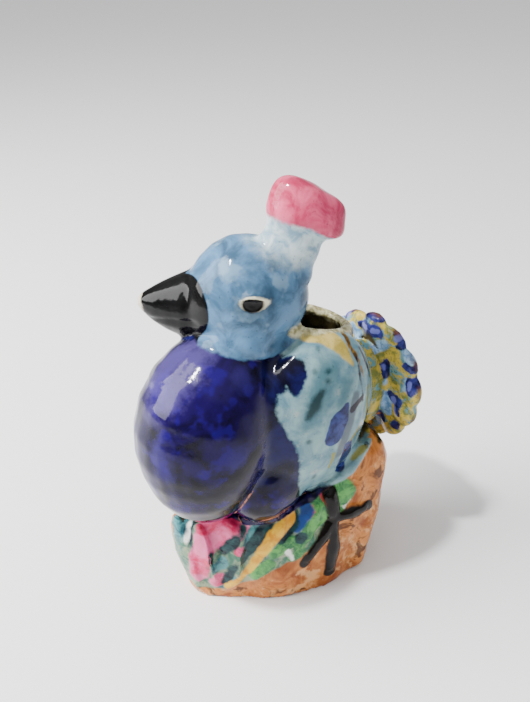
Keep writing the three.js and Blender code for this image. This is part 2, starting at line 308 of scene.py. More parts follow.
# The marks on the left wing and the left of the breast, which the right side repeats
BIRD_MARKS = {
    "yellow_band": [
        (
            [(8.2, 4.6, 68.0), (9.6, 6.9, 67.4), (11.3, 9.1, 67.1), (13.6, 10.8, 64.2), (14.8, 12.3, 61.2)],
            [1.6, 2.4, 0.5],
        ),
    ],
    "ridge": [
        (
            [(5, 17, 66), (10.1, 13.4, 66.6), (13.1, 13.0, 64.7), (14.1, 14.0, 62.2), (15.0, 15.4, 57)],
            [0.55, 0.7, 0.4],
        ),
    ],
    "dark_strokes": [
        ([(14.0, 13.9, 62.0), (15.4, 13.9, 58.0), (16.0, 14.9, 51.6)], [0.35, 0.5, 0.3]),
        ([(12.6, 16.3, 63.0), (13.6, 17.2, 60.0), (14.1, 18.3, 55.6)], [0.4, 0.55, 0.3]),
        ([(14.3, 18.3, 46.9), (13.4, 19.0, 41.5), (12.1, 19.3, 36.8)], [0.4, 0.9, 0.3]),
        ([(13.1, 19.8, 35.8), (14.2, 16.9, 31.8)], [0.6, 0.3]),
        ([(15.9, 14.2, 52.7), (16.8, 11.2, 51.4)], [0.7, 1.0]),
    ],
    "ovals": [
        ([(17.1, 9.3, 53.0), (17.4, 7.3, 50.0), (17.1, 6.1, 46.3)], [0.9, 2.7, 2.5]),
        ([(15.9, 11.4, 41.0), (14.6, 12.0, 36.0), (13.2, 11.8, 33.0)], [1.4, 2.7, 1.6]),
    ],
    "grey_stroke": [
        ([(16.6, 12.1, 54.0), (16.9, 10.0, 47.4), (16.2, 8.8, 40.1)], [1.3, 1.7, 1.3]),
    ],
    "olive_strokes": [
        ([(15.4, 15.2, 44.6), (16.3, 12.0, 42.0)], [0.9, 0.5]),
        ([(13.6, 18.9, 35.9), (13.6, 15.4, 33.8)], [0.8, 0.6]),
        ([(16.3, 6.9, 40.7), (15.4, 6.5, 36.6)], [0.7, 0.4]),
        ([(14.6, 16.9, 54.0), (14.4, 17.6, 47.0)], [0.6, 0.9]),
    ],
    "green_smudge": [
        ([(15.7, 3.3, 58.2), (16.0, 1.2, 55.4), (15.8, -0.4, 52.9)], [0.8, 1.5, 0.6]),
        ([(14.8, 5.4, 61.9)], [0.6]),
        ([(15.5, 5.0, 60.0)], [0.7]),
        ([(13.9, 2.5, 62.4)], [0.4]),
        ([(16.1, -0.2, 47.1)], [0.5]),
        ([(14.9, 2.7, 35.3)], [0.5]),
        ([(11.5, 5.0, 65.7)], [0.6]),
    ],
    "teal_wash": [
        ([(14.8, 5.5, 61.8), (15.9, 3.0, 57.4), (16.0, -1.2, 51.0)], [2.6, 3.4, 1.2]),
        ([(16.4, 9.5, 58.0), (16.6, 8.0, 54.5)], [1.8, 1.6]),
    ],
    # Near-black patches on the breast: partly darker glaze, partly painted dark reflection
    "breast_black_and_reflection": [
        (
            [(9.5, -27.8, 40.0), (12.8, -21.9, 40.5), (14.6, -16.8, 45.2), (14.6, -12.4, 49.2)],
            [1.4, 2.2, 1.2],
        ),
        ([(11.4, -21.0, 34.6), (12.4, -15.0, 37.0)], [1.4, 1.2]),
    ],
    # Violet patches on the breast: partly violet glaze, partly painted sheen
    "breast_violet_and_sheen": [
        ([(14.9, -17.2, 49.6)], [2.6]),
        ([(9.6, -12.3, 63.5)], [2.4]),
        ([(5.0, -30.2, 50.8), (6.3, -29.8, 46.0)], [1.6, 2.0]),
    ],
    # A lilac patch high on the breast: partly cloudy glaze, partly a painted reflection of the sky
    "breast_bloom_and_sheen": [
        ([(1.6, -16.8, 67.8), (2.2, -21.3, 65.3), (3.0, -26.1, 60.5)], [2.6, 3.6, 2.6]),
        ([(0.4, -28.4, 57.4)], [2.0]),
    ],
}

# The marks on the fan's left half, on both of its faces. They lie flat, with nothing along y
FAN_MARKS = {
    "fan_eye": [
        ([(0, 0, 56.2), (1.6, 0, 57.4), (3.4, 0, 57.0)], [1.5, 1.7, 1.1]),
        ([(7.6, 0, 59.4), (9.4, 0, 58.6), (9.6, 0, 56.6)], [0.8, 1.2, 0.9]),
        ([(6.9, 0, 51.0), (6.4, 0, 48.4)], [1.1, 1.5]),
        ([(14.4, 0, 49.0), (14.9, 0, 46.8)], [1.5, 1.1]),
        ([(9.0, 0, 43.6), (11.2, 0, 42.3), (11.7, 0, 39.0)], [0.9, 1.5, 0.8]),
        ([(12.2, 0, 53.0), (14.2, 0, 52.2)], [0.7, 1.1]),
        ([(0, 0, 60.8), (2.4, 0, 60.6)], [1.3, 1.0]),
        ([(5.4, 0, 37.2), (7.4, 0, 34.8)], [1.4, 0.9]),
        ([(0.6, 0, 33.8), (2.2, 0, 31.2)], [1.4, 1.0]),
        ([(11.0, 0, 35.2)], [1.3]),
        ([(1.6, 0, 51.6), (2.8, 0, 49.0)], [1.4, 1.0]),
        ([(3.6, 0, 42.4), (2.2, 0, 39.4)], [1.3, 1.0]),
    ],
    "fan_moon": [
        ([(11.6, 0, 56.2), (13.4, 0, 54.2)], [1.5, 1.3]),
        ([(8.2, 0, 42.2), (8.2, 0, 38.2)], [1.8, 1.4]),
        ([(6.8, 0, 46.2)], [1.2]),
        ([(3.4, 0, 54.2), (5.8, 0, 55.6)], [1.5, 1.2]),
        ([(13.0, 0, 49.0), (13.0, 0, 46.8)], [0.9, 0.7]),
        ([(4.6, 0, 35.6), (5.6, 0, 33.2)], [1.2, 0.8]),
        ([(0, 0, 48.2), (0.8, 0, 46.2)], [1.3, 0.9]),
    ],
    # painted highlights along the raised commas
    "fan_comma_highlight": [
        ([(1.0, 0, 57.3), (2.6, 0, 57.6)], [0.7, 0.5]),
        ([(8.4, 0, 58.0)], [0.9]),
        ([(10.1, 0, 42.6), (10.9, 0, 39.6)], [0.7, 0.5]),
        ([(14.1, 0, 48.8), (14.3, 0, 47.2)], [0.5, 0.4]),
        ([(6.3, 0, 50.2), (6.0, 0, 48.8)], [0.5, 0.4]),
    ],
}

# The leaves that lean on the stump, stroke by stroke
LEAVES = {
    "teal": [
        ([(-4.4, -20.8, 21), (-3.4, -20.6, 14), (-1.6, -20.0, 8)], [2.2, 2.0, 1.6]),
        ([(9.3, -10.0, 21.2), (8.8, -11.9, 16.3)], [1.8, 0.9]),
        ([(5.6, -16.2, 13.0), (4.6, -17.4, 10.4)], [0.9, 0.7]),
        ([(6.5, -14.6, 8.2), (4.4, -16.4, 4.6)], [1.0, 0.7]),
    ],
    "dark": [
        (
            [(10.3, -7.3, 22.0), (10.2, -9.4, 19.2), (8.9, -12.4, 15.8), (7.6, -14.6, 11.5)],
            [1.3, 1.6, 1.2, 1.0],
        ),
        ([(7.6, -14.6, 11.5), (5.4, -16.0, 6.0)], [1.0, 0.6]),
        ([(12.8, -1.2, 21.8), (13.1, -4.6, 19.2)], [1.3, 0.8]),
        ([(14.6, -0.1, 18.4)], [1.2]),
        ([(8.0, -14.0, 19.8), (4.5, -18.6, 14.6), (3.6, -19.0, 10.6)], [0.9, 1.1, 0.7]),
        ([(-1.2, -20.2, 21.0), (-0.4, -21.2, 13.0)], [0.3, 0.5]),
    ],
    "pink": [
        (
            [(3.3, -17.2, 22.0), (3.4, -19.8, 17.6), (2.4, -20.9, 13.2), (1.2, -21.0, 7.3)],
            [3.4, 2.8, 2.2, 1.6],
        ),
        ([(7.2, -14.0, 21.6), (5.6, -17.2, 18.0)], [1.8, 1.4]),
        ([(4.8, -16.6, 7.1), (4.0, -17.8, 5.6)], [1.1, 0.8]),
        ([(13.8, 6.4, 25.1), (13.9, 2.8, 23.4)], [0.9, 0.4]),
        ([(8.9, -13.6, 17.2)], [0.7]),
    ],
    "yellow": [
        (
            [(11.8, -2.1, 23.2), (11.8, -6.2, 20.1), (10.9, -9.3, 15.7), (8.8, -12.2, 9.4)],
            [1.6, 1.5, 1.1, 0.6],
        ),
        ([(8.8, -12.2, 9.4), (5.7, -14.8, 4.6)], [0.6, 0.9]),
    ],
    "blue": [([(13.2, 2.6, 24.2), (13.6, -0.7, 20.9)], [1.0, 0.8])],
    "green": [
        ([(14.3, 6.4, 22.6), (14.8, 2.2, 20.2), (14.6, -0.8, 16.0)], [1.8, 1.6, 1.0]),
        ([(13.6, -2.9, 17.8), (13.2, -6.6, 15.6)], [1.3, 0.9]),
        ([(12.4, -7.8, 12.4), (10.1, -10.3, 9.0)], [1.2, 0.8]),
        ([(15.4, 12.6, 26.6), (15.3, 11.1, 24.4), (15.3, 10.1, 21.8)], [1.9, 1.7, 0.5]),
        ([(14.9, -0.6, 14.2), (14.6, -2.4, 13.2)], [1.1, 0.8]),
    ],
    # White strokes: the two beside the left toe are painted glints, the rest white paint
    "white": [
        ([(-2.6, -20.3, 20.1), (-1.6, -21.6, 17.1), (-1.0, -21.7, 14.3)], [0.5, 0.6, 0.4]),
        ([(13.8, -3.4, 15.6), (14.6, -2.4, 12.6)], [0.7, 0.4]),
        ([(15.6, 11.6, 22.4), (15.5, 13.2, 24.0)], [0.4, 0.3]),
        ([(15.9, 4.6, 14.0), (15.7, 3.4, 11.2)], [0.5, 0.6]),
    ],
}

# How much fuller than its strokes each colour is laid on, and how far it stands out, in parts
LEAF_FULLNESS = {
    "teal": 0.6,
    "dark": 0.4,
    "pink": 0.9,
    "yellow": 0.3,
    "blue": 0.4,
    "green": 0.6,
    "white": 0.1,
}
LEAF_RELIEF = {"pink": 0.3, "yellow": 0.42, "green": 0.36, "dark": -0.12, "blue": 0.1}

# Strokes that start above this height are at the stump's edge, and run on over its shelf
EDGE_HEIGHT = 19
SHELF_RUN = 4.5
SHELF_RISE = 3.5


def leaf_bed_depth(points):
    """How far points lie inside the bed of paint that the leaves stand in, on the stump's front left."""
    x, y, z = points.T
    lower_edge = np.interp(
        y,
        [-21, -15, -10.3, -8.3, -3, 1, 4, 6.5],
        [2.6, 3.6, 7.4, 9.8, 12.2, 13.2, 16, 19.5],
    )
    back_edge = 6.9
    right_edge = -6.2
    return np.min([z - lower_edge, back_edge - y, x - right_edge], axis=0)


def leaf_depth(points, paths):
    """How far points lie inside leaf strokes. Those from the stump's edge run on to the bird."""
    carried = []
    for path, radii in paths:
        x, y, z = path[0]
        if z > EDGE_HEIGHT:
            reach = math.hypot(x, y - ROCK_AXIS)
            inner = (x - SHELF_RUN * x / reach, y - SHELF_RUN * (y - ROCK_AXIS) / reach, z + SHELF_RISE)
            path = [inner] + path
        carried.append((path, radii))
    return strokes(points, *carried)


# The even mesh


def fine_copy(node):
    """The solid's own shape as one even mesh of small faces."""
    mesh = node.data.copy()
    piece = bpy.data.objects.new("glazed_peacock", mesh)
    bpy.context.scene.collection.objects.link(piece)
    bm = bmesh.new()
    bm.from_mesh(mesh)
    bmesh.ops.remove_doubles(bm, verts=bm.verts, dist=1e-6)
    bm.to_mesh(mesh)
    bm.free()
    mesh.materials.clear()
    remesh = piece.modifiers.new("fine", "REMESH")
    remesh.mode = "VOXEL"
    remesh.voxel_size = VOXEL
    graph = bpy.context.evaluated_depsgraph_get()
    fine = bpy.data.meshes.new_from_object(piece.evaluated_get(graph))
    piece.modifiers.clear()
    piece.data = fine
    return piece


def refine(mesh, wanted):
    """Halves the edges between the wanted points."""
    bm = bmesh.new()
    bm.from_mesh(mesh)
    chosen = [e for e in bm.edges if wanted[e.verts[0].index] and wanted[e.verts[1].index]]
    bmesh.ops.subdivide_edges(bm, edges=chosen, cuts=1, use_grid_fill=True)
    bm.to_mesh(mesh)
    bm.free()


def coordinates(mesh):
    co = np.empty(len(mesh.vertices) * 3)
    mesh.vertices.foreach_get("co", co)
    return co.reshape(-1, 3)


def set_coordinates(mesh, co):
    mesh.vertices.foreach_set("co", co.ravel())
    mesh.update()


def normals(mesh):
    no = np.empty(len(mesh.vertices) * 3)
    mesh.vertex_normals.foreach_get("vector", no)
    return no.reshape(-1, 3)


def edges(mesh):
    e = np.empty(len(mesh.edges) * 2, np.int32)
    mesh.edges.foreach_get("vertices", e)
    return e.reshape(-1, 2)


def neighbour_mean(values, pairs):
    a, b = pairs[:, 0], pairs[:, 1]
    size = len(values)
    count = np.maximum(np.bincount(a, minlength=size) + np.bincount(b, minlength=size), 1)
    total = [np.bincount(a, v[b], size) + np.bincount(b, v[a], size) for v in values.T]
    return np.stack(total, axis=1) / count[:, None]


def relaxed(co, pairs, share, rounds):
    """The points drawn towards their neighbours and back out: facets melt and the form keeps its size."""
    for _ in range(rounds):
        for step in (0.5, -0.52):
            co = co + step * share[:, None] * (neighbour_mean(co, pairs) - co)
    return co


def settled(co, pairs, share, rounds):
    """The points drawn towards their neighbours only, which fills a crease as thick glaze does."""
    for _ in range(rounds):
        co = co + 0.5 * share[:, None] * (neighbour_mean(co, pairs) - co)
    return co


def noise_at(points, scale, seed=0.0, octaves=2):
    """Smooth noise from -1 to 1 at each point, with features of about scale parts."""
    places = points / scale + seed
    return np.array([noise.fractal(Vector(p), 0.6, 2.0, octaves) for p in places])


def regions(points):
    """How far points lie in each area of the surface, and the points with both sides laid on the left."""
    depth = {name: depth_in(shape, points) for name, shape in FORMS.items()}
    depth["rock"] = depth_in_rock(points)
    depth["fan"] = depth_in_fan(points)
    mirrored = np.abs(points[:, 0])[:, None] * ACROSS + points * (1 - ACROSS)
    depth["limbs"] = np.max([stroke(mirrored, path, [LIMB_RADIUS]) for path in LIMBS], axis=0)
    thighs = np.maximum(depth["left_thigh"], depth["right_thigh"])
    winged_body = np.max([depth["body"], depth["left_wing"], depth["right_wing"]], axis=0)
    trunk = np.maximum(winged_body, thighs)
    tail = np.maximum(depth["rump"], depth["fan"])
    head = np.max([depth["head"], depth["beak"], depth["throat"]], axis=0)
    bird = np.max([trunk, tail, head, depth["breast"], depth["crest"]], axis=0)
    place = {
        "head": head - np.maximum(trunk, depth["breast"]),
        "crest": depth["crest"] - head,
        "breast": depth["breast"] - np.maximum(trunk, head),
        "thighs": thighs - np.maximum(winged_body, depth["breast"]),
        "tail": tail - trunk,
        "rock": depth["rock"] - bird,
        "limbs": depth["limbs"],
        "hollowed": np.max([depth["body"], depth["breast"], depth["rock"]], axis=0),
    }
    return place, mirrored


piece = fine_copy(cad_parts["peacock"])
co = coordinates(piece.data)
parts = co / PART
forward, left, up = in_head(parts)
near_eye = np.linalg.norm(np.stack([forward, np.abs(left), up], axis=1) - EYE, axis=1) < EYE_AREA
refine(piece.data, near_eye)
co = coordinates(piece.data)
parts = co / PART
pairs = edges(piece.data)

# Broad masses are smoothed most, the carving least.
place = regions(parts)[0]
forward, left, up = in_head(parts)
eye_gap = np.stack([forward, np.abs(left), up], axis=1) - EYE
fine = smoothstep(-2.5, 0.5, place["limbs"])
fan_border = smoothstep(0.55, 0.75, fan_place(parts)[1])
fine = np.maximum(fine, fan_border * smoothstep(26, 29, parts[:, 1]) * 0.5)
on_leaves = smoothstep(-1, 1.5, leaf_bed_depth(parts))
fine = np.maximum(fine, smoothstep(0, 2, place["rock"]) * (0.6 - 0.45 * on_leaves))
fine = np.maximum(fine, bump(np.linalg.norm(eye_gap, axis=1), 5))
fine = np.maximum(fine, 0.8 * smoothstep(13, 19, forward) * smoothstep(-10, -7, up))
co = relaxed(co, pairs, 1 - fine, MELT_ROUNDS)
crease = bump(place["breast"], 2.2) * smoothstep(34, 42, parts[:, 2]) * smoothstep(69, 64, parts[:, 2])
crease = crease * smoothstep(-1.5, -0.5, -np.abs(depth_in(FORMS["breast"], parts)))
co = settled(co, pairs, crease, FILL_ROUNDS)
co = relaxed(co, pairs, np.ones(len(co)), LAST_ROUNDS)
set_coordinates(piece.data, co)
parts = co / PART
place, mirrored = regions(parts)
forward, left, up = in_head(parts)
side = np.abs(left)

# The hollow inside, which is painted dark as painted shade, and the rim around the mouth
mouth_x = parts[:, 0] / (MOUTH_WIDTH / 2)
mouth_y = (parts[:, 1] - MOUTH_Y) / (MOUTH_LENGTH / 2)
mouth_reach = np.hypot(mouth_x, mouth_y)
rim_height = RIM_MIDDLE - RIM_SLOPE * (parts[:, 1] - MOUTH_Y)
over_rim = parts[:, 2] - rim_height
near_mouth = (parts[:, 2] > 50) & (mouth_reach < 1.6)
well = np.where(near_mouth, (1.02 - mouth_reach) * 8 - np.maximum(over_rim, 0) * 3, UNPAINTED)
middle_lines = [
    [(0, -16, 48), (0, -9, 56)],
    [(0, -16, 46), (0, 5, 46), (0, 22, 46)],
    [(0, 4, 12), (0, 10, 45)],
]
inward = np.zeros(len(parts))
gap_to_middle = np.full(len(parts), 1e9)
for line in middle_lines:
    for share in np.linspace(0, 1, 12):
        towards = curve_point(line, share)[0] - parts
        gap = np.linalg.norm(towards, axis=1)
        facing = np.einsum("ij,ij->i", towards, normals(piece.data)) / np.maximum(gap, 1e-6)
        inward = np.where(gap < gap_to_middle, facing, inward)
        gap_to_middle = np.minimum(gap, gap_to_middle)
walls_inside = np.minimum(place["hollowed"] - WALL * 0.6, (inward + 0.05) * 4)
inside = np.maximum(walls_inside, well)
rim_gap = np.hypot((mouth_reach - 1.16) * 8, over_rim)
rim = np.where(near_mouth, 1.9 - rim_gap, UNPAINTED)

# Painted areas, as depths in parts: the wing and breast
edge_line = np.interp(
    parts[:, 2],
    [24, 26, 30, 34.5, 40, 44.8, 49, 53, 56, 58.5, 61, 63, 67],
    [13, 8, 0, -1, -1.6, -2.7, -4.2, -5.6, -6.2, -5.4, -3.2, -1.6, -0.8],
)
low_belly = 28.5 - parts[:, 2]
front_of_edge = np.maximum(edge_line - parts[:, 1], np.minimum(low_belly, 16 - parts[:, 1]))
blot = strokes(
    mirrored,
    ([(9.4, -3.5, 64.8), (10.2, -1.4, 64.0), (11.8, -0.5, 63.5), (12.7, -0.3, 62.3)], [1.6, 1.9, 1.7]),
    ([(11.6, -2.0, 62.5), (13.0, -1.8, 60.8), (13.8, -2.1, 58.8)], [2.6, 2.0, 0.8]),
    ([(10.3, -6.5, 62.0), (11.5, -5.0, 60.5)], [2.4, 1.8]),
)
breast = np.maximum(np.maximum(place["breast"], front_of_edge), blot)

# The bare line along the lower edge of the breast and of the thighs
lobe = 0.25 - np.abs(place["breast"]) + np.minimum(0, 36 - parts[:, 2]) * 0.3
lobe = np.maximum(lobe, 0.3 - np.abs(place["rock"] + 1.2) + np.minimum(0, 4 - parts[:, 1]) * 0.3)
lobe = np.where(parts[:, 2] > 20, lobe, UNPAINTED)

# The tail's paint begins at the wing's rear edge
rear_edge = np.interp(parts[:, 2], [34, 40, 46, 52, 58, 63, 67], [23, 22.4, 21.6, 20.2, 18.8, 17.6, 17])
tail_paint = np.maximum(place["tail"], parts[:, 1] - rear_edge)

# The head's lower edge, round under the chin and cheeks
chin = np.interp(
    forward,
    [-13, -10.1, -7.2, -3.6, 2.2, 7.9, 13.2, 18],
    [-3, -5.6, -8.7, -9.7, -7.9, -6.3, -5.9, -10],
)
head_paint = np.minimum(up - chin, place["head"] + np.interp(forward, [11, 15], [3, 0]))

# The bird's lower edge, where it hangs over the stump's shoulder
hem = np.interp(
    parts[:, 1],
    [-19.7, -14, -11.4, -6.9, -1.3, 4.4, 8.1, 14.3, 21.8, 26, 30],
    [30.1, 25, 23.2, 23.1, 23.9, 25.6, 27.8, 30.4, 36.7, 44, 60],
)
stump_paint = np.minimum(place["rock"], hem - parts[:, 2])
leaf_bed = leaf_bed_depth(parts)
leaf_tops = np.minimum(leaf_bed, np.minimum(hem - 1, 25.2) - parts[:, 2])
stump_paint = np.maximum(stump_paint, leaf_tops)

# The head: beak, eyes and crest
beak = forward - (9.1 + 0.06 * (up - 0.5) ** 2 + 4 * np.maximum(0, 1 - side / 8) ** 2)
beak_tip = forward - 22.6
eye_f = forward - EYE[0]
eye_u = up - EYE[2]
on_face = smoothstep(CHEEK, CHEEK + 2, side)
pupil = (1 - np.hypot(eye_f / 2.3, (eye_u + 0.15) / 1.75)) * 1.5
white = (1 - (np.abs((eye_f + 0.3) / 3.1) ** 1.7 + np.abs((eye_u - 0.2) / 1.9) ** 1.7)) * 1.4
# Painted shade in the socket round the eye
socket_shade = 1.3 - np.hypot(eye_f / 4.4, eye_u / 3.2) * 1.3
past_cap = forward + 10
cap_edge = 17.0 + 0.47 * np.minimum(past_cap, 0) + 0.16 * np.maximum(past_cap, 0)
pink_cap = (up - cap_edge) * 0.9
crest = np.minimum(place["crest"] + 1.2, up - 8.5)

# The tail fan's commas, moons, painted highlights on the commas, and edge
turn, reach = fan_place(parts)
feather = turn / FEATHER_TURN
off_gap = (feather + 0.5 - np.round(feather + 0.5)) * FEATHER_TURN * FAN_RADIUS
flat = mirrored * (1.0, 0.0, 1.0)
fan_marks = {name: strokes(flat, *paths) for name, paths in FAN_MARKS.items()}
fan_edge = (reach - 1.005) * FAN_RADIUS
on_disc = parts[:, 1] > FAN_FRONT

leaf = {name: leaf_depth(parts, paths) + LEAF_FULLNESS[name] for name, paths in LEAVES.items()}
leaf_ground = np.maximum(leaf_bed, leaf["green"])

# Relief, in parts: how far the surface stands out
relief = 0.10 * noise_at(parts, 9, 3.1)
stump = smoothstep(0.2, 2.0, stump_paint) * smoothstep(1.5, -0.5, leaf_ground)
stump = stump * smoothstep(0.6, -0.4, place["limbs"]) * smoothstep(0.3, -0.3, inside)
bark_points = parts * (1.0, 1.0, 0.55)
relief += stump * (0.55 * noise_at(bark_points, 6.5, 7.7) + 0.14 * np.abs(noise_at(bark_points, 2.4, 1.3)))
for name, height in LEAF_RELIEF.items():
    relief += height * smoothstep(-0.5, 0.7, leaf[name])
limb_paint = np.minimum(place["limbs"] + 0.3, hem + 0.2 - parts[:, 2])
past_rock = np.clip(-depth_in_rock(parts) - 0.2, 0, 2.5)
leaf_swell = past_rock * smoothstep(0, 1.5, leaf_ground) * smoothstep(24, 21, parts[:, 2])
relief -= 0.5 * leaf_swell
relief += 0.25 * smoothstep(-0.2, 0.5, limb_paint)
relief += 0.7 * smoothstep(-0.3, 0.9, head_paint) * smoothstep(1.2, -0.6, place["head"])
relief += 0.8 * smoothstep(-0.3, 0.9, -stump_paint) * smoothstep(-0.5, 0.6, place["rock"])
cap_back = smoothstep(-11.5, -15.5, forward)
cap_shape = 0.35 * bump(pink_cap - 0.9, 1.4) - 0.6 * bump(pink_cap + 2.6, 1.8)
cap_shape += cap_back * (0.9 * bump(pink_cap - 0.6, 2.2) - 0.4 * bump(pink_cap - 6, 4))
relief += np.where(crest > 0, cap_shape, 0)
lid = bump(eye_u - (1.55 - 0.13 * eye_f**2), 0.5) * smoothstep(3.9, 2.6, np.abs(eye_f))
lower_lid = bump(eye_u + (1.75 - 0.12 * eye_f**2), 0.45) * smoothstep(3.6, 2.2, np.abs(eye_f))
socket = bump(np.hypot(eye_f / 1.5, eye_u), 2.3)
relief += on_face * (0.35 * lid + 0.22 * lower_lid - 0.45 * socket + 0.35 * smoothstep(0, 1.0, pupil))
gape_line = -2.3 - 0.012 * (forward - 9) ** 2
gape = bump(up - gape_line, 0.55) * smoothstep(10.5, 13, forward) * smoothstep(1.5, 3, side)
relief -= 0.4 * gape
relief += 0.16 * smoothstep(-0.6, 0.6, beak)
on_fan = smoothstep(0.4, 0.62, reach) * smoothstep(27, 29, parts[:, 1])
comma_relief = 0.22 * smoothstep(-0.4, 0.9, fan_marks["fan_eye"])
relief += on_fan * (comma_relief + 0.16 * smoothstep(-0.3, 0.7, fan_marks["fan_moon"]))
relief -= on_fan * 0.15 * bump(off_gap, 0.45) * smoothstep(0.66, 0.8, reach)
relief *= smoothstep(0.6, -0.2, inside)
relief *= smoothstep(0, 1.5, parts[:, 2])

co = co + normals(piece.data) * (relief * PART)[:, None]
# The beak's point is drawn out again, by about what the smoothing took off it.
beak_reach = 1.1 * smoothstep(14, 22, forward) * smoothstep(-11, -7, up)
co = co + BEAKWARD * (beak_reach * PART)[:, None]
low, high = (np.array(v) for v in cad_box)
co = np.clip(co, low, high)
set_coordinates(piece.data, co)
piece.data.shade_smooth()

# Ridges, where the glaze runs thin, and hollows, where it gathers
bulge = np.einsum("ij,ij->i", co - neighbour_mean(co, pairs), normals(piece.data)) / VOXEL
for _ in range(2):
    bulge = neighbour_mean(bulge[:, None], pairs)[:, 0]

PAINT = {
    "inside": inside,
    "rim": rim,
    "rock": stump_paint,
    "head": head_paint,
    "crest": crest,
    "pink_cap": pink_cap,
    "beak": beak,
    "beak_tip": beak_tip,
    "pupil": np.where(side > CHEEK, pupil, UNPAINTED),
    "white": np.where(side > CHEEK, white, UNPAINTED),
    "socket": np.where(side > CHEEK, socket_shade, UNPAINTED),
    "breast": breast,
    "breast_lobe": place["breast"],
    "thighs": place["thighs"],
    "tail": tail_paint,
    "fan_edge": np.where(on_disc, fan_edge, UNPAINTED),
    "leaf_ground": leaf_ground,
    "limbs": limb_paint,
    "lobe": lobe,
    "bulge": bulge,
}
PAINT.update({name: strokes(mirrored, *paths) for name, paths in BIRD_MARKS.items()})
PAINT.update({name: np.where(on_disc, values, UNPAINTED) for name, values in fan_marks.items()})
PAINT.update({"leaf_" + name: values for name, values in leaf.items()})
for name, values in PAINT.items():
    attribute = piece.data.attributes.new(name, "FLOAT", "POINT")
    attribute.data.foreach_set("value", values.astype(np.float32))


# The glaze
GLAZE_ROUGHNESS = 0.11
GLAZE_IOR = 1.27
RIPPLE_HEIGHT = 1.2 * MM


def srgb(red, green, blue):
    """A colour in the shader's linear values, from its everyday 0 to 255 values."""
    return (*(((v / 255 + 0.055) / 1.055) ** 2.4 for v in (red, green, blue)), 1.0)


def new_group(name, inputs, output):
    """An empty node group with its sockets: (label, kind, default) each."""
    tree = bpy.data.node_groups.new(name, "ShaderNodeTree")
    for label, kind, default in inputs:
        socket = tree.interface.new_socket(label, in_out="INPUT", socket_type="NodeSocket" + kind)
        socket.default_value = default
    tree.interface.new_socket(output[0], in_out="OUTPUT", socket_type="NodeSocket" + output[1])
    return tree, tree.nodes.new("NodeGroupInput").outputs, tree.nodes.new("NodeGroupOutput").inputs[0]


def add(tree, kind, settings=(), **values):
    """A node with its settings, and its sockets set to values or linked to other sockets."""
    node = tree.nodes.new(kind)
    for key, value in dict(settings).items():
        setattr(node, key, value)
    for key, value in values.items():
        numbered = key[0] == "_" and key[1:].isdigit()
        socket = node.inputs[int(key[1:]) if numbered else key.replace("_", " ")]
        if isinstance(value, bpy.types.NodeSocket):
            tree.links.new(value, socket)
        else:
            socket.default_value = value
    return node


def math_node(tree, operation, a, b=0.0):
    return add(tree, "ShaderNodeMath", {"operation": operation}, _0=a, _1=b).outputs[0]


def blend(tree, factor, under, over):
    return add(tree, "ShaderNodeMix", {"data_type": "RGBA"}, _0=factor, _6=under, _7=over).outputs[2]


def noise_node(tree, scale, detail=3.0, rough=0.55, distortion=0.0):
    where = tree.nodes.new("ShaderNodeTexCoord").outputs["Object"]
    node = add(tree, "ShaderNodeTexNoise", Vector=where, Scale=scale, Detail=detail, Roughness=rough)
    node.inputs["Distortion"].default_value = distortion
    return node.outputs[0]


def softly(tree, value, low, high):
    settings = {"interpolation_type": "SMOOTHSTEP"}
    return add(tree, "ShaderNodeMapRange", settings, _0=value, _1=low, _2=high).outputs[0]


def mottle_group():
    """Two tones of one glaze that cloud into each other."""
    inputs = [("Light", "Color", (1, 1, 1, 1)), ("Dark", "Color", (0, 0, 0, 1)), ("Scale", "Float", 100.0)]
    inputs += [("Low", "Float", 0.35), ("High", "Float", 0.65)]
    tree, given, result = new_group("clouded_glaze", inputs, ("Colour", "Color"))
    cloud = noise_node(tree, given["Scale"], 4.0, 0.6, 0.6)
    share = softly(tree, cloud, given["Low"], given["High"])
    tree.links.new(blend(tree, share, given["Dark"], given["Light"]), result)
    return tree


def brush_group():
    """Paint laid over what is under it, as far as its depth says, with an unsteady edge."""
    inputs = [("Under", "Color", (1, 1, 1, 1)), ("Paint", "Color", (0, 0, 0, 1)), ("Depth", "Float", 0.0)]
    inputs += [("Softness", "Float", 0.2), ("Wobble", "Float", 0.3), ("Cover", "Float", 1.0)]
    tree, given, result = new_group("brushed_paint", inputs, ("Colour", "Color"))
    shake = math_node(tree, "SUBTRACT", noise_node(tree, 260.0, 3.0, 0.6), 0.5)
    shaken = math_node(tree, "MULTIPLY", shake, math_node(tree, "MULTIPLY", given["Wobble"], 3.0))
    depth = math_node(tree, "ADD", given["Depth"], shaken)
    ramp = softly(tree, math_node(tree, "DIVIDE", depth, given["Softness"]), -1.0, 1.0)
    share = math_node(tree, "MULTIPLY", ramp, given["Cover"])
    tree.links.new(blend(tree, share, given["Under"], given["Paint"]), result)
    return tree


def speck_group():
    """Small dark specks in the glaze."""
    inputs = [("Under", "Color", (1, 1, 1, 1)), ("Speck", "Color", (0, 0, 0, 1)), ("Amount", "Float", 0.1)]
    tree, given, result = new_group("kiln_specks", inputs, ("Colour", "Color"))
    spots = noise_node(tree, 900.0, 1.0)
    share = math_node(tree, "MULTIPLY", softly(tree, spots, 0.70, 0.76), given["Amount"])
    tree.links.new(blend(tree, share, given["Under"], given["Speck"]), result)
    return tree


clouded = mottle_group()
brushed = brush_group()
specked = speck_group()


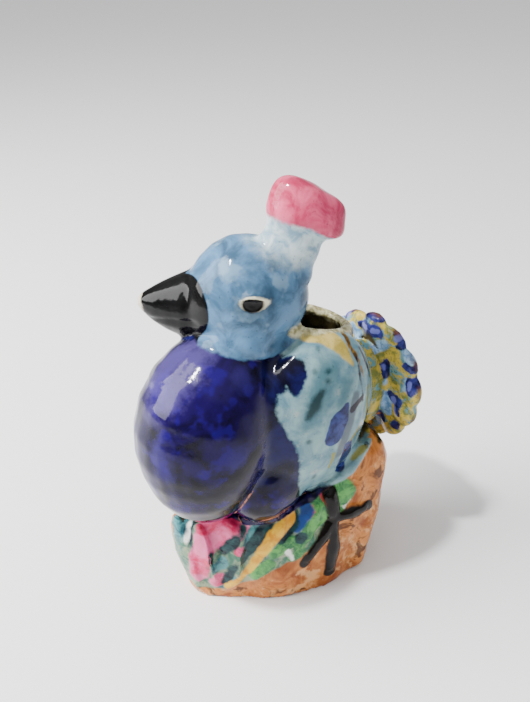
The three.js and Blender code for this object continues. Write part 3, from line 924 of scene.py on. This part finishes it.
def glaze_material():
    """The painted glaze, laid on area by area from the wings to the rim."""
    material = bpy.data.materials.new("majolica_glaze")
    material.use_nodes = True
    tree = material.node_tree
    shader = tree.nodes["Principled BSDF"]

    def field(name):
        return add(tree, "ShaderNodeAttribute", {"attribute_name": name}).outputs["Fac"]

    def tones(light, dark, scale, low=0.35, high=0.65):
        values = {"Light": light, "Dark": dark, "Scale": scale, "Low": low, "High": high}
        return add(tree, "ShaderNodeGroup", {"node_tree": clouded}, **values).outputs[0]

    def paint(under, colour, depth, softness=0.25, wobble=0.3, cover=1.0):
        settings = {"node_tree": brushed}
        values = {"Under": under, "Paint": colour, "Depth": depth, "Softness": softness, "Wobble": wobble}
        return add(tree, "ShaderNodeGroup", settings, Cover=cover, **values).outputs[0]

    def patches(under, colour, scale, share, cover, twist=0.0):
        """Loose patches of a colour, over the share of the surface that is given."""
        lie = math_node(tree, "SUBTRACT", noise_node(tree, scale, 3.0, 0.6, twist), 1 - share)
        return paint(under, colour, lie, 0.05, 0.0, cover)

    # the wings and back
    colour = tones(srgb(136, 168, 170), srgb(86, 124, 140), 110, 0.3, 0.7)
    colour = patches(colour, srgb(160, 170, 162), 150, 0.36, 0.6)
    colour = paint(colour, srgb(64, 104, 116), field("teal_wash"), 1.6, 0.9, 0.8)
    colour = paint(colour, srgb(14, 44, 48), field("green_smudge"), 0.7, 0.5, 0.95)
    straw = tones(srgb(206, 184, 104), srgb(164, 144, 66), 160)
    colour = paint(colour, straw, field("yellow_band"), 0.35, 0.35)
    colour = paint(colour, srgb(70, 76, 90), field("grey_stroke"), 0.5, 0.4, 0.8)
    colour = paint(colour, tones(srgb(46, 60, 124), srgb(14, 18, 66), 220), field("ovals"), 0.22, 0.25)
    colour = paint(colour, srgb(140, 136, 56), field("olive_strokes"), 0.3, 0.4, 0.9)
    colour = paint(colour, tones(srgb(140, 104, 40), srgb(78, 54, 20), 300), field("ridge"), 0.3, 0.4)
    colour = paint(colour, srgb(24, 14, 34), field("dark_strokes"), 0.22, 0.25)
    # the breast
    deep = tones(srgb(20, 2, 62), srgb(4, 1, 17), 60, 0.34, 0.6)
    deep = patches(deep, srgb(26, 0, 92), 80, 0.42, 0.8)
    # violet patches: partly violet glaze, partly painted sheen
    deep = paint(deep, srgb(40, 30, 96), field("breast_violet_and_sheen"), 1.6, 1.2, 0.55)
    # near-black patches: partly darker glaze, partly painted dark reflection
    deep = paint(deep, srgb(2, 1, 8), field("breast_black_and_reflection"), 0.9, 1.2, 0.9)
    # lilac patch: partly cloudy glaze, partly a painted reflection of the sky
    deep = paint(deep, srgb(96, 84, 150), field("breast_bloom_and_sheen"), 2.2, 1.8, 0.4)
    wing_navy = tones(srgb(20, 20, 72), srgb(6, 5, 26), 80, 0.35, 0.62)
    deep = paint(wing_navy, deep, math_node(tree, "MAXIMUM", field("breast_lobe"), field("thighs")), 0.8, 0.8)
    deep = paint(deep, srgb(190, 116, 84), field("lobe"), 0.14, 0.12, 0.75)
    colour = paint(colour, deep, field("breast"), 0.5, 0.7)
    # the tail
    ground = tones(srgb(196, 172, 70), srgb(112, 118, 62), 190, 0.4, 0.6)
    ground = patches(ground, srgb(86, 142, 158), 130, 0.44, 0.9, 1.5)
    ground = patches(ground, srgb(44, 84, 84), 380, 0.38, 0.7, 2.0)
    ground = paint(ground, tones(srgb(150, 186, 214), srgb(92, 132, 178), 420), field("fan_moon"), 0.3, 0.45)
    ground = paint(ground, tones(srgb(50, 54, 124), srgb(16, 16, 54), 240), field("fan_eye"), 0.25, 0.6)
    # painted highlights on the commas
    ground = paint(ground, srgb(112, 118, 196), field("fan_comma_highlight"), 0.2, 0.4, 0.7)
    ground = paint(ground, srgb(96, 54, 18), field("fan_edge"), 0.3, 0.3, 0.85)
    colour = paint(colour, ground, field("tail"), 0.4, 0.4)
    # the stump and its leaves
    stone = tones(srgb(208, 132, 66), srgb(136, 62, 20), 110, 0.28, 0.66)
    stone = patches(stone, srgb(226, 170, 112), 130, 0.4, 0.7)
    stone = patches(stone, srgb(60, 24, 8), 110, 0.38, 0.85, 1.0)
    leaves = tones(srgb(150, 162, 132), srgb(62, 108, 88), 200)
    leaves = paint(leaves, tones(srgb(84, 146, 148), srgb(36, 76, 88), 260), field("leaf_teal"), 0.4, 0.5)
    leaves = paint(leaves, tones(srgb(226, 108, 154), srgb(196, 36, 84), 110), field("leaf_pink"), 0.35, 0.5)
    leaves = paint(leaves, tones(srgb(98, 168, 88), srgb(50, 106, 66), 260), field("leaf_green"), 0.3, 0.4)
    leaves = paint(leaves, srgb(44, 74, 138), field("leaf_blue"), 0.4, 0.4)
    leaves = paint(leaves, tones(srgb(34, 68, 70), srgb(10, 26, 36), 300), field("leaf_dark"), 0.35, 0.5)
    amber = tones(srgb(238, 190, 60), srgb(214, 142, 34), 200)
    leaves = paint(leaves, amber, field("leaf_yellow"), 0.25, 0.35)
    # white strokes, partly white paint and partly painted glints beside the left toe
    leaves = paint(leaves, srgb(238, 240, 234), field("leaf_white"), 0.3, 0.4)
    stone = paint(stone, leaves, field("leaf_ground"), 0.4, 0.5)
    colour = paint(colour, stone, field("rock"), 0.2, 0.2)
    colour = paint(colour, srgb(14, 8, 7), field("limbs"), 0.25, 0.15)
    # the head
    face = tones(srgb(88, 128, 164), srgb(52, 80, 104), 100, 0.3, 0.7)
    face = patches(face, srgb(118, 148, 172), 90, 0.4, 0.7)
    # painted shade round the eye, in its socket
    face = paint(face, srgb(36, 60, 78), field("socket"), 0.9, 0.4, 0.75)
    face = paint(face, srgb(222, 218, 190), field("white"), 0.3, 0.5)
    face = paint(face, srgb(6, 5, 6), field("pupil"), 0.25, 0.12)
    face = paint(face, tones(srgb(14, 14, 15), srgb(3, 3, 3), 90), field("beak"), 0.2, 0.12)
    face = paint(face, srgb(206, 196, 178), field("beak_tip"), 0.3, 0.6)
    plume = tones(srgb(190, 206, 208), srgb(120, 152, 172), 170)
    cap = tones(srgb(218, 94, 126), srgb(164, 38, 74), 110, 0.3, 0.66)
    plume = paint(plume, cap, field("pink_cap"), 0.6, 0.5)
    face = paint(face, plume, field("crest"), 2.0, 1.0)
    colour = paint(colour, face, math_node(tree, "MAXIMUM", field("head"), field("crest")), 0.3, 0.25)
    # the rim, and the hollow painted dark as painted shade
    colour = paint(colour, tones(srgb(206, 200, 160), srgb(128, 122, 80), 420), field("rim"), 0.4, 0.5)
    # painted shade: the hollow is coloured dark olive-brown
    colour = paint(colour, tones(srgb(64, 56, 34), srgb(28, 24, 14), 120), field("inside"), 0.5, 0.4)
    thin = add(tree, "ShaderNodeMapRange", _0=field("bulge"), _1=0.12, _2=0.28).outputs[0]
    colour = blend(tree, math_node(tree, "MULTIPLY", thin, 0.25), colour, srgb(196, 150, 112))
    values = {"Under": colour, "Speck": srgb(30, 26, 24), "Amount": 0.35}
    colour = add(tree, "ShaderNodeGroup", {"node_tree": specked}, **values).outputs[0]
    tree.links.new(colour, shader.inputs["Base Color"])

    shader.inputs["Roughness"].default_value = GLAZE_ROUGHNESS
    shader.inputs["IOR"].default_value = GLAZE_IOR
    ripple = noise_node(tree, 150.0, 3.0)
    relief_map = add(tree, "ShaderNodeBump", Height=ripple, Strength=0.14, Distance=RIPPLE_HEIGHT)
    tree.links.new(relief_map.outputs[0], shader.inputs["Normal"])
    return material


piece.data.materials.append(glaze_material())
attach(piece, "root")
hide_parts("peacock")


# The camera, at the photograph's viewing angle
IMAGE_HEIGHT = 702
FOCAL_PIXELS = 770
CAMERA_AZIMUTH = math.radians(54)
CAMERA_ELEVATION = math.radians(30)
CAMERA_DISTANCE = 0.285
TARGET = Vector((0, 0, 0.105))
SENSOR = 24.0
FLOOR_HALF_WIDTH = 8

# The softboxes: where each stands, its size and its power
SOFTBOXES = {
    "window": ((-0.34, -0.60, 0.56), (0.55, 0.75), 17),
    "sun": ((-0.10, -0.50, 1.10), (0.07, 0.07), 16),
}


def photo_camera():
    level = math.cos(CAMERA_ELEVATION)
    back = Vector(
        (math.sin(CAMERA_AZIMUTH) * level, -math.cos(CAMERA_AZIMUTH) * level, math.sin(CAMERA_ELEVATION))
    )
    data = bpy.data.cameras.new("camera")
    data.sensor_fit = "VERTICAL"
    data.sensor_height = SENSOR
    data.lens = SENSOR * FOCAL_PIXELS / IMAGE_HEIGHT
    data.clip_start = 0.01
    camera = bpy.data.objects.new("camera", data)
    camera.location = TARGET + back * CAMERA_DISTANCE
    camera.rotation_euler = (-back).to_track_quat("-Z", "Y").to_euler()
    bpy.context.scene.collection.objects.link(camera)
    bpy.context.scene.camera = camera


def floor():
    bm = bmesh.new()
    bmesh.ops.create_grid(bm, x_segments=1, y_segments=1, size=FLOOR_HALF_WIDTH)
    mesh = bpy.data.meshes.new("floor")
    bm.to_mesh(mesh)
    bm.free()
    ground = bpy.data.objects.new("floor", mesh)
    bpy.context.scene.collection.objects.link(ground)
    material = bpy.data.materials.new("pale_floor")
    material.use_nodes = True
    shader = material.node_tree.nodes["Principled BSDF"]
    shader.inputs["Base Color"].default_value = (0.9, 0.9, 0.9, 1)
    shader.inputs["Roughness"].default_value = 0.9
    mesh.materials.append(material)


def softbox(name, place, size, power):
    data = bpy.data.lights.new(name, "AREA")
    data.shape = "RECTANGLE"
    data.size, data.size_y = size
    data.energy = power
    lamp = bpy.data.objects.new(name, data)
    lamp.location = place
    lamp.rotation_euler = (TARGET - Vector(place)).to_track_quat("-Z", "Y").to_euler()
    bpy.context.scene.collection.objects.link(lamp)


def studio():
    """A soft sky that is bright overhead and dim towards the horizon, with two softboxes."""
    world = bpy.data.worlds.new("studio")
    bpy.context.scene.world = world
    world.use_nodes = True
    tree = world.node_tree
    background = tree.nodes["Background"]
    where = tree.nodes.new("ShaderNodeTexCoord").outputs["Generated"]
    height = add(tree, "ShaderNodeSeparateXYZ", _0=where).outputs[2]
    share = softly(tree, height, 0.35, 0.85)
    strength = add(tree, "ShaderNodeMapRange", _0=share, _3=0.35, _4=1.1).outputs[0]
    tree.links.new(strength, background.inputs["Strength"])
    background.inputs["Color"].default_value = (1, 1, 1, 1)
    for name, (place, size, power) in SOFTBOXES.items():
        softbox(name, place, size, power)


photo_camera()
floor()
studio()
